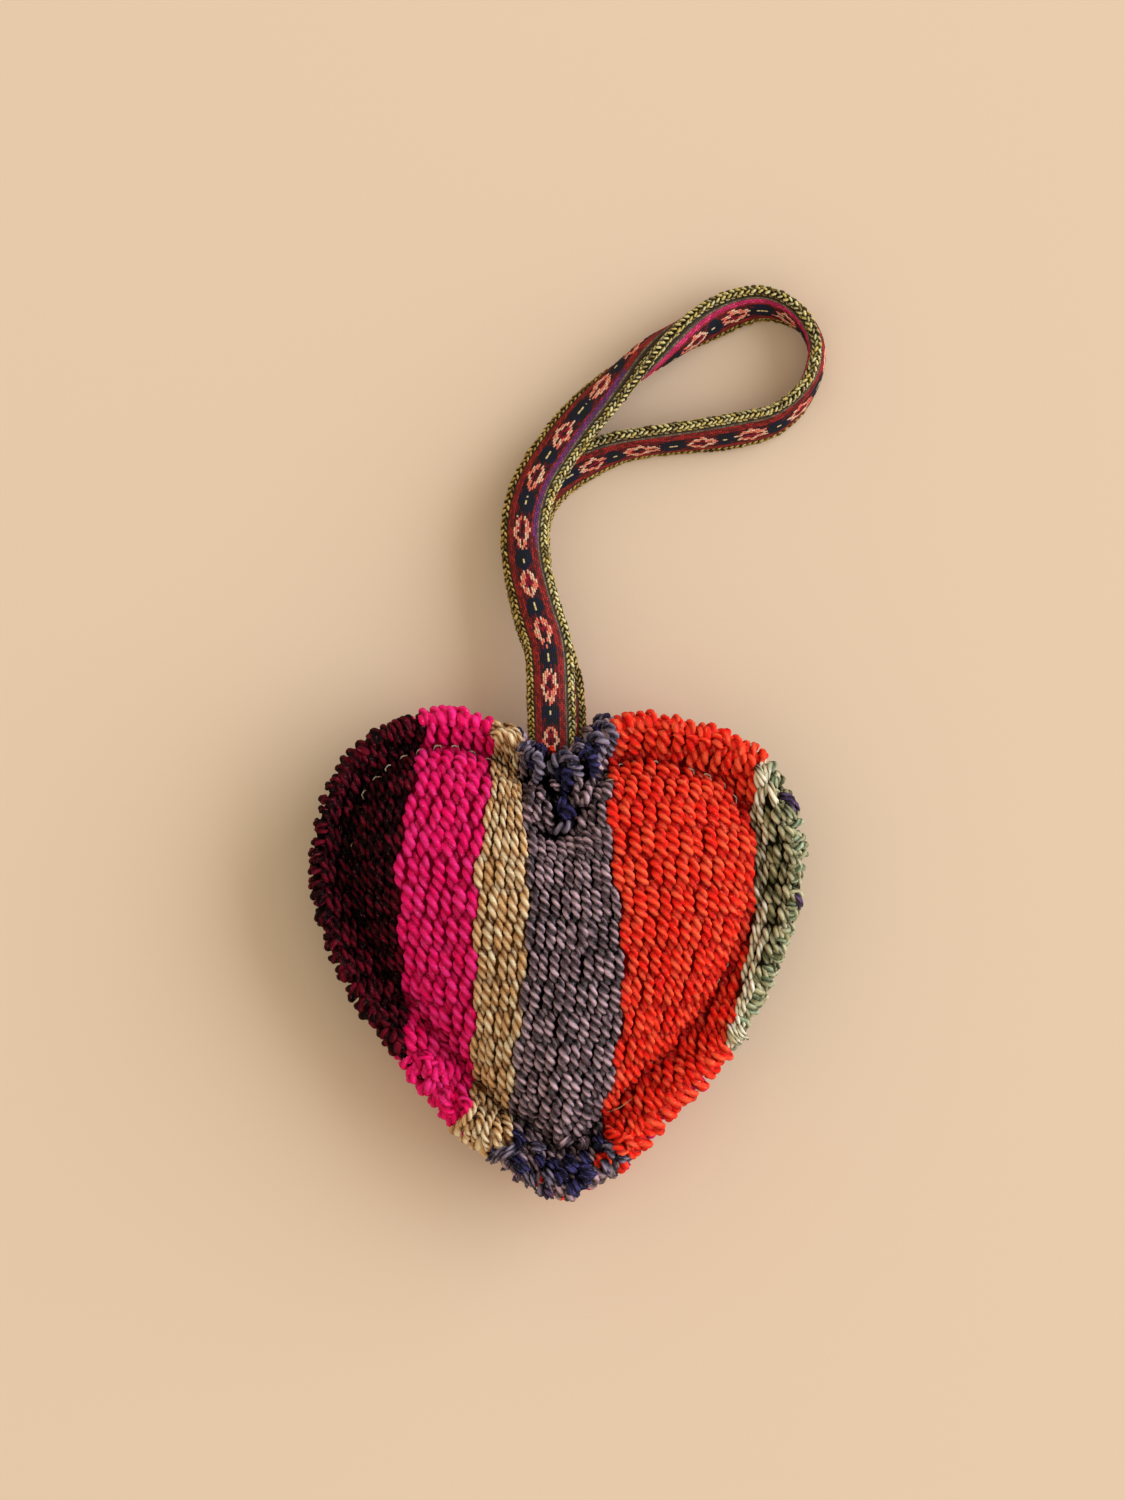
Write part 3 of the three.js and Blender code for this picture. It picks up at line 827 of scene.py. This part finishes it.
def weave_stripe(side, index, dice):
    """The warp yarns of one stripe. Each runs from edge to edge over the picks of every other row
    and under the rest, wide and high in the middle of each float and thin where it dives."""
    colour, count = side.stripes[index]
    twist, reach, row, _ = WARP[colour]
    bundle = bundle_for(colour, side)
    for yarn in range(2 * count):
        rows = np.arange(-12, 13) * 2 + yarn % 2
        run = ((rows[:, None] + FLOAT_STEPS) * row).ravel() + dice.normal(0, 0.3)
        slack = 0.5 * np.sin(run / 17 + index * 2) * 0.6
        x, y, pitch = on_cloth(side, index, (yarn + 0.5) / (2 * count), run + slack)
        jitter = np.clip(dice.normal(0, 1, (len(rows), 3)), -2, 2)
        tones = dice.random((len(rows), 2))
        kept = np.flatnonzero(inset(x, y) > 0.25)
        if len(kept) < 6:
            continue
        kept = slice(kept[0], kept[-1] + 1)
        own = np.repeat(np.hstack([jitter, tones]), len(FLOAT_STEPS), axis=0)
        slip, sink, sway, tone, other = own[kept].T
        x, y, pitch, run = x[kept], y[kept], pitch[kept], run[kept]
        bow = np.minimum(np.abs(np.tile(FLOAT_STEPS, len(rows))[kept] / reach), 1.6)
        slub = 1 + 0.07 * slip + 0.06 * np.sin(run * 1.9 + dice.random() * 6)
        width = pitch / 2 * slub * (1 - 0.42 * np.clip(bow, 0, 1) ** 3)
        thickness = np.clip(0.44 * pitch, 0.75, 1.15) * (1 - 0.25 * np.clip(bow, 0, 1) ** 2)
        x = x + 0.16 * sway * np.clip(1 - bow**2, 0, 1)
        gap = gap_at(x, y) * (side.sign > 0)
        depth = thickness + DIVE * bow**2.3 - 0.18 * sink - 0.4 * (colour == "cream") + 1.7 * gap
        normal = side.normal(x, y, 1.8)
        lean = 1 - 0.75 * np.clip((inset(x, y) - 3) / 3, 0, 1)
        inwards = unit(normal * np.stack([lean, lean, 1 + 0 * lean], 1))
        middle = side.over(x, y) - inwards * depth[:, None]
        middle[:, 2] = MID_HEIGHT + side.sign * np.maximum(side.sign * (middle[:, 2] - MID_HEIGHT), 0.8)
        # Painted shade: darker in the valley just outside the seam, in the open gaps round the notch and
        # where each float dives under the weft
        valley_shade = 0.9 * np.exp(-(((rim_depth(x, y) - RIM_WIDTH + 0.3) / 0.8) ** 2))
        dive_shade = np.clip(np.maximum((bow - 0.5) / 0.6, gap) + valley_shade, 0, 1)
        turn = 2 * np.pi * (run / twist / dice.uniform(0.9, 1.15) + dice.random() + 0.06 * slip)
        bundle.add(middle[None], normal[None], 1.02 * width, 1.06 * thickness, turn, 6, 0.42,
                   (tone, dive_shade, other))


for side in (FRONT, BACK):
    dice = np.random.default_rng(11)
    for index in range(len(side.stripes)):
        weave_stripe(side, index, dice)


def colour_at(side, x, y):
    """Which colour of the cloth lies at a place: the stripe between the borders beside it."""
    names = [name for name, _ in side.stripes if name != "cream"]
    passed = sum((x > side.border(i, y)).astype(int) for i in range(len(side.borders)))
    return np.array(names)[passed]


# Padding under the yarns

PAD_DEPTH = 1.55  # of the padding's skin below the yarns' crowns


def make_pad(side):
    """Stuffed body of one panel: rings from the centre out to the edge on the skin, less the
    yarn's thickness, and back along the mid plane."""
    shares = np.concatenate([np.linspace(0.03, 0.97, 46), [0.985]])
    angle = np.radians(np.arange(0, 360, 2))
    radius = shares[:, None] * (radius_at(angle, EDGE) - 0.5)
    x, y = CENTRE[0] + radius * np.cos(angle), CENTRE[1] + radius * np.sin(angle)
    outer = side.over(x, y) - side.normal(x, y, 1.8) * PAD_DEPTH
    gap = (outer[..., 2] - MID_HEIGHT) * side.sign
    outer[..., 2] = MID_HEIGHT + side.sign * np.maximum(gap, 0.2)
    flat = np.stack([x, y, MID_HEIGHT + 0.1 * side.sign + 0 * x], -1)[::-1][::6]
    rings = np.concatenate([outer, flat])
    colours = colour_at(side, rings[..., 0], rings[..., 1])
    # Each stripe's dark cloth colour is painted shade, seen between the yarns
    gap_shade_tints = np.array([dye(*WARP[colour][3])[:3] for colour in colours.ravel()]).reshape(rings.shape)
    name = f"{side.name}_pad"
    pad = closed_rings(
        name, rings, rings[..., :2], gap_shade_tints, side.sign < 0, pad_finish(name), f"{side.name}_cloth")
    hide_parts(f"{side.name}_panel")


def pad_finish(name):
    """Depth of the cloth seen between the yarns: a dark colour that is painted shade in the gaps, felted.
    """
    finish = Finish(name, 0.95, 0.02)
    felt = finish.noise(finish.node("TexCoord", output="Object"), 3, 0.7, 900.0)
    return finish.show(finish.layered(finish.marks(), (felt * 0.4, (4, 2, 2))), felt, 0.4)


make_pad(FRONT)
make_pad(BACK)

# Cut edge: yarn ends and row ends that wrap over it

EDGE_PITCH = 2.25
EDGE_RUN = even_steps(np.vstack([EDGE, EDGE[:1]]), 2000)
SAGE_SIDE = 38.0  # x beyond which the rim is cut along the sage yarns


def edge_places(start):
    """Places spaced round the cut edge, and the outward direction at each."""
    length = lengths_along(EDGE_RUN)
    count = int(length[-1] / EDGE_PITCH)
    at = (np.arange(count) + start) * length[-1] / count
    place = points_at(EDGE_RUN, at)
    forward = unit(points_at(EDGE_RUN, at + 0.6) - place)
    return place, np.stack([forward[:, 1], -forward[:, 0]], 1)


def wrap_edge(side, dice):
    """Loops over the cut edge: from inside the rim, over its crest and down to the mid plane.
    Where the edge cuts across the warp they are fat, loose and pulled along the yarns, where it
    runs along the warp they are the small knobs of the turning weft."""
    place, out = edge_places(0.0 if side.sign > 0 else 0.5)
    count = len(place)
    out_x, out_y = out[:, :1], out[:, 1:]
    cut = np.clip((np.abs(out_y) - 0.3) / 0.4, 0, 1)
    low = cut * (out_y < 0)
    place = place + np.hstack([-out_y, out_x]) * dice.normal(0, 0.5, (count, 1))
    at_x, at_y = place[:, :1], place[:, 1:]
    sage_side = at_x > SAGE_SIDE
    pull = np.hstack([0 * out_x, np.sign(out_y) * np.abs(out_y) ** 1.5])
    heading = unit(out + 0.9 * pull + dice.normal(0, 0.26, (count, 2)) * (0.35 + cut * ~sage_side))
    reach = np.array([-4.8, -3.9, -2.8, -1.7, -0.7, 0.1, 0.5, 0.3, -0.5])
    long = 0.5 + dice.uniform(-0.1, 0.15, (count, 1)) + 0.3 * low * (out_x > 0)
    reach = np.where(reach < -0.6, reach * long, reach)
    extra = dice.uniform(-1.5, -0.9, (count, 1)) + 0.3 * cut + dice.uniform(0, 1.2, (count, 1)) * low
    if side.sign < 0:
        extra = extra - (0.7 * (out_y > 0.2) + 0.5)
    extra = extra + sage_side * (1.2 * (at_y > 20) - 0.5)
    q = reach + extra * np.clip((reach + 4.8) / 4, 0, 1)
    x, y = at_x + heading[:, :1] * q, at_y + heading[:, 1:] * q
    skin = (side.skin(x, y) - MID_HEIGHT) * side.sign
    down = np.array([3.1, 1.9, 0.9, -0.1]) + dice.normal(0, 0.2, (count, 1))
    z = np.concatenate([skin[:, :5] - [2.1, 1.2, 0.7, 0.5, 0.45], down], 1)
    z[:, 4] = np.maximum(z[:, 4], 3.4)
    middle = np.stack([x, y, MID_HEIGHT + side.sign * z], -1)
    heart = np.column_stack([
        x[:, 3] - heading[:, 0], y[:, 3] - heading[:, 1], np.full(count, MID_HEIGHT + side.sign * 0.5)])
    up = unit(middle - heart[:, None])
    girth = [0.55, 0.8, 0.95, 1, 1.05, 1.08, 1.05, 0.95, 0.75] * dice.uniform(0.82, 1.25, (count, 1))
    girth = girth * (0.74 + 0.2 * cut) * np.where(sage_side, 0.86, 1)
    turn = 2 * np.pi * lengths_along(middle) / (5.0 + 3.0 * cut) + dice.random((count, 1)) * 6.28
    colours = colour_at(side, *(place - 2 * out).T)
    colours = np.where((colours == "sage") & (dice.random(count) < 0.6), "green", colours)
    if side.sign > 0:
        at_tip = (at_y < -37) & (at_x > -14) & (at_x < 12)
        at_notch = (at_y > 36) & (np.abs(at_x - 0.8) < 9)
        other = dice.choice(["navy", "grey", "lavender"], count, p=[0.55, 0.25, 0.2])
        colours = np.where((at_tip | at_notch)[:, 0], other, colours)
    # Painted shade at both ends of each loop, where it goes into the cloth
    dive_shade = np.array([0.9, 0.4, 0.1, 0, 0, 0, 0.1, 0.4, 0.8])
    tone = dice.random((count, 2))
    for colour in np.unique(colours):
        own = colours == colour
        bundle_for(str(colour), side).add(
            middle[own], up[own], 1.25 * girth[own], girth[own], turn[own], 6, 0.5,
            (tone[own, :1], dive_shade, tone[own, 1:]))


wrap_edge(FRONT, np.random.default_rng(21))
wrap_edge(BACK, np.random.default_rng(22))

# Loose ends seen in the photograph: colour, half width, lift over the cloth, and in tenths of a
# millimetre x and y of one end and of each step from there. Ropes are single yarns, tufts bunches.
ROPES = [
    ("lavender", 1.15, 1, -66, 376, 8, 16, 14, 5, 10, -14, -2, -25, -9, -18),
    ("grey", 1.05, 0.8, -42, 352, -10, -20, -5, -26, 2, -26),
    ("lavender", 1.35, 1.7, -12, 360, 6, 24, 16, 11, 19, -9, 13, -20, 3, -22),
    ("grey", 1.05, 1.5, 43, 358, 1, -20, -6, -22, -2, -24),
    ("navy", 1.2, 1, -2, 346, 8, 18, 12, 3, 7, -17, -5, -22, -5, -22),
    ("grey", 0.95, 0.9, -10, 342, 10, -8, 9, -8),
    ("grey", 1.05, 0.9, -37, 334, 5, -15, -1, -15),
    ("grey", 1.15, 0.9, -25, 300, 5, -20, 1, -20, 5, -18),
    ("grey", 0.9, 0.6, -40, 300, 1, -20, -1, -16),
    ("lavender", 1.2, 0.8, -7, 242, 11, 7, 12, 4, 8, 7),
    ("navy", 1.15, 1.2, 42, 393, 14, 4, 14, -10, 5, -21, -2, -20),
    ("grey", 1.05, 0.9, 74, 358, -8, -22, -8, -20, -4, -20),
    ("lavender", 1.2, 1.2, 56, 416, 8, 16, 18, 1, 14, -14, -6, -19, -6, -18),
    ("grey", 1.05, 0.8, 87, 394, -5, -20, 0, -22, -2, -18),
    ("lavender", 1.25, 1.1, 66, 446, 16, 10, 20, -4, 13, -18, -6, -22, -5, -18),
    ("lavender", 1, 0.9, 74, 464, 18, 8, 17, -3),
    ("red", 0.55, 1.2, -19, 402, 6, 6, 6, -6),
    ("pink", 1.15, 1, -192, -276, 16, -22, -5, -32),
    ("pink", 1.2, 0.9, -222, -272, -1, -28, 15, -24),
    ("pink", 1, 0.9, -264, -194, 10, -16, -4, -24),
    ("pink", 0.9, 1.1, -276, -206, 18, -6, 16, -12),
    ("red", 1.1, 1, 98, -342, 11, -22, 19, -6, 21, 8),
    ("red", 1.1, 0.9, 104, -376, 16, -13, 20, -11),
    ("red", 0.9, 1.3, 116, -374, 16, 6, 16, -6, -4, -16),
    ("gold", 0.95, 0.9, -160, -288, -12, -28, -20, -30),
    ("gold", 1, 1.1, -152, -302, 0, -34, -16, -38),
    ("gold", 0.95, 1.5, -118, -302, -16, -28, -10, -28, 4, -34),
    ("gold", 1, 1, -126, -324, 8, -30, -2, -30),
    ("gold", 1, 0.9, -110, -318, 11, -26, 5, -26),
    ("gold", 0.9, 0.6, -169, -332, -9, -22, 2, -24),
    ("gold", 0.12, 1.5, 92, -320, 28, 9, 29, 19),
    ("cream", 0.1, 1.1, 93, 339, 9, 6, 10, 2),
]
EDGE_TUFTS = [
    ("purple", 1, 0.6, 444, 316, 22, -8, 14, -24),
    ("purple", 0.65, 0, 474, 118, 10, -14, 2, -16),
    ("cream", 1, 0.8, 396, 372, 8, -16, 8, -20),
    ("cream", 0.9, 0.7, 416, 376, 1, -14, -3, -18),
    ("cream", 1, 0.7, 422, 342, 7, -24, 8, -22),
    ("green", 1, 0.6, 432, 358, 3, -10, -2, -12),
    ("green", 0.9, 0.5, 456, 294, 9, -12, 5, -14),
    ("cream", 0.9, 0.5, 346, -138, 7, -22, 11, -22),
    ("cream", 0.7, 0.5, 362, -138, 6, -18, 10, -16),
]
TUFTS = [
    ("gold", 1.5, 0.6, -130, 446, 16, -6, 10, -22),
    ("gold", 1.4, 0.7, -108, 450, 20, -10, 9, -26),
    ("lavender", 1.5, 0.7, -72, 406, 12, 9, 12, 1),
    ("navy", 1, 0.5, -60, 380, 12, -6, 6, -12),
    ("navy", 1.8, 1, 6, 288, 13, -5, 9, -14),
    ("navy", 1.1, 1, 17, 312, -9, -14, -6, -14),
    ("lavender", 1.2, 1, 33, 404, 9, 7, 10, -5),
    ("navy", 1.1, 0.5, 50, 422, 8, -12, 8, -12),
    ("navy", 1.1, 0.5, 76, 418, 8, -8, 6, -10),
    ("lavender", 1.2, 0.8, -80, -388, -30, -10, -29, -17),
    ("navy", 1.2, 0.8, -90, -356, 14, -11, 5, -17),
    ("lavender", 1, 0.3, -92, -416, -10, -8, -8, -4),
    ("lavender", 1.2, 1.1, -53, -384, 15, -2, 13, -8),
    ("navy", 1.1, 0.8, -40, -400, 9, -12, 5, -12),
    ("navy", 1.6, 0.9, -86, -406, 12, -18, 16, -16),
    ("lavender", 1.1, 0.7, -62, -430, 6, -18, 2, -20),
    ("purple", 0.95, 0.4, -74, -438, -6, -14, -3, -8),
    ("lavender", 1.1, 1, -24, -430, 9, -18, 6, -14),
    ("purple", 1.2, 0.6, -24, -466, 6, -12, 4, -10),
    ("navy", 1.5, 1.1, -4, -434, 11, -10, 5, -14),
    ("navy", 1.3, 1.1, 14, -404, 12, -14, 13, -14),
    ("navy", 1.7, 0.8, 30, -454, 3, -18, -1, -16),
    ("navy", 1.6, 0.9, 45, -434, 15, -6, 12, -12),
    ("navy", 1.2, 0.7, -14, -410, 10, -8, 4, -12),
    ("grey", 1.1, 0.9, 29, -370, -13, -9, -14, -9),
    ("grey", 1, 0.8, 50, -370, 3, -12, -1, -12),
    ("navy", 1.2, 0.9, 48, -394, 6, -14, 8, -12),
    ("navy", 1.3, 0.9, 78, -364, 6, -14, 4, -16),
    ("lavender", 1.3, 1, 88, -384, 14, -4, 11, -14),
    ("lavender", 1, 0.6, 94, -410, 6, -18, 5, -18),
    ("lavender", 1, 0.4, 118, -406, 14, -4, 13, -6),
    ("pink", 0.9, -1.5, 124, -420, 10, -8, 8, 2),
    ("pink", 0.8, -1.6, 72, -436, 10, -8, 4, -8),
    ("pink", 0.9, -1.8, 54, -462, 10, -8, 12, 2),
    ("red", 1, -1.2, -40, -444, 5, -10, 5, -8),
]


def lay_loops(loops, strands, twist, dice):
    """Short yarns laid over the front, in one rope or in loose strands side by side: each rises
    from the cloth, is highest in the middle and comes down to it again."""
    per_ply, notch = (6, 0.6) if strands == 1 else (4, 0.35)
    for colour, half, lift, *route in loops:
        line = smooth_curve(np.cumsum(np.reshape(route, (-1, 2)), 0) / 10, 8)
        line = even_steps(line, max(9, int(lengths_along(line)[-1] / 0.45)))
        share = np.linspace(0, 1, len(line))
        arch = np.sin(np.pi * share) ** 0.7
        along = unit(np.gradient(line, axis=0))
        aside = np.stack([-along[:, 1], along[:, 0]], 1)
        for strand in range(strands):
            place = (strand - (strands - 1) / 2) / strands
            splay = half * (1.3 * place + dice.normal(0, 0.12)) * (1 + dice.uniform(0, 0.5) * share**2)
            way = line + aside * splay[:, None] + along * dice.normal(0, 0.3)
            high = lift + dice.uniform(-0.3, 0.4) * (strands > 1) + half * 0.4
            middle = FRONT.over(*way.T, high * arch - 0.7 * (1 - arch))
            run = lengths_along(middle)
            girth = half * dice.uniform(0.88, 1.12) / strands**0.6
            girth = girth * (0.68 + 0.32 * np.sin(np.pi * share) ** 0.5)
            girth = girth * (1 + 0.07 * np.sin(run * 3 + dice.random() * 6))
            turn = 2 * np.pi * run / (twist * dice.uniform(0.85, 1.2)) + dice.random() * 6
            # Painted shade on the first half of each yarn, darkest at the end that goes into the cloth
            bundle_for(colour, FRONT).add(
                middle[None], FRONT.normal(*way.T)[None], girth, 0.92 * girth, turn, per_ply, notch,
                (dice.random(), 0.9 * (1 - arch) * (share < 0.5), dice.random()))


loop_dice = np.random.default_rng(31)
lay_loops(ROPES, 1, 4.0, loop_dice)
lay_loops(EDGE_TUFTS, 2, 8.0, loop_dice)
lay_loops(TUFTS, 3, 7.0, loop_dice)

for (colour, where), bundle in BUNDLES.items():
    bundle.piece(f"{where}_{colour}_yarns", FINISHES[colour], f"{SHARED_SLOTS.get(colour, colour)}_yarn")

# Running stitches in the seam

STITCH = 3.6  # from one stitch to the next
STITCH_STEP = 0.5
THREAD_RADIUS = 0.2
THREAD_TWIST = 1.4  # length of one turn


def make_stitches():
    """One thread round the seam on the front, over the yarns for a stitch and under for the next."""
    clear = (SEAM[:, 1] < NOTCH - RIM_WIDTH - SEWN_LENGTH) | (np.abs(SEAM[:, 0]) > POCKET_HALF_WIDTH + 1)
    start = np.flatnonzero(clear & ~np.roll(clear, 1))[0]
    line = np.roll(SEAM, -start, axis=0)[: int(clear.sum())]
    x, y = even_steps(line, int(lengths_along(line)[-1] / STITCH_STEP)).T
    run = np.arange(len(x)) * STITCH_STEP
    over = np.tanh(2 * np.cos(2 * np.pi * run / STITCH))
    normal = FRONT.normal(x, y)
    buried = 0.9 * np.clip((31 - y) / 3, 0, 1)
    middle = FRONT.over(x, y) + normal * (0.7 * over - 0.5 - buried)[:, None]
    bundle = Bundle()
    # Painted shade where the thread runs under the yarns
    bundle.add(middle[None], normal[None], THREAD_RADIUS, THREAD_RADIUS * 0.9,
               2 * np.pi * run / THREAD_TWIST, 3, 0.12, (0.6, np.clip(-over, 0, 1) * 0.5, 0.4))
    finish = yarn_finish(
        "pale_thread", (120, 88, 64), (226, 204, 172), (214, 180, 146), (250, 240, 220), 0.5)
    thread = bundle.piece("seam_stitches", finish, "sewing_thread")
    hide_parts("seam_thread")


make_stitches()

# Floor and light

FLOOR_REACH = 3.0  # metres from the heart to each side
LIGHT_POWER, LIGHT_SIZE, LIGHT_DISTANCE = 322.0, 6.0, 4.2  # watts and metres
LIGHT_DIRECTION = (0.9, 0.22, 0.28)
LIGHT_COLOUR = (0.88, 0.965, 1.12)
ROOM_COLOUR, ROOM_STRENGTH = (1.0, 0.9, 0.73, 1), 0.7


def make_surroundings():
    """A pale floor, a soft room all round and one square soft box aimed at the heart."""
    mesh = bpy.data.meshes.new("floor")
    low, high = -FLOOR_REACH, FLOOR_REACH
    mesh.from_pydata([(low, low, 0), (high, low, 0), (high, high, 0), (low, high, 0)], [], [(0, 1, 2, 3)])
    finish = Finish("pale_floor", 0.9, 0.1)
    finish.feed(finish.sockets["Base Color"], (229, 204, 177))
    mesh.materials.append(finish.material)
    floor = add_object("floor", mesh)

    lamp = bpy.data.lights.new("key_light", "AREA")
    lamp.energy, lamp.size, lamp.color = LIGHT_POWER, LIGHT_SIZE, LIGHT_COLOUR
    light = add_object("key_light", lamp)
    target = Vector((0.0, 0.03, 0.015))
    light.location = target + Vector(LIGHT_DIRECTION).normalized() * LIGHT_DISTANCE
    light.rotation_euler = (target - light.location).to_track_quat("-Z", "Y").to_euler()

    world = bpy.data.worlds.new("soft_room")
    world.use_nodes = True
    room = world.node_tree.nodes["Background"].inputs
    room["Color"].default_value, room["Strength"].default_value = ROOM_COLOUR, ROOM_STRENGTH
    bpy.context.scene.world = world
    bpy.context.scene.view_settings.view_transform = "Standard"


make_surroundings()
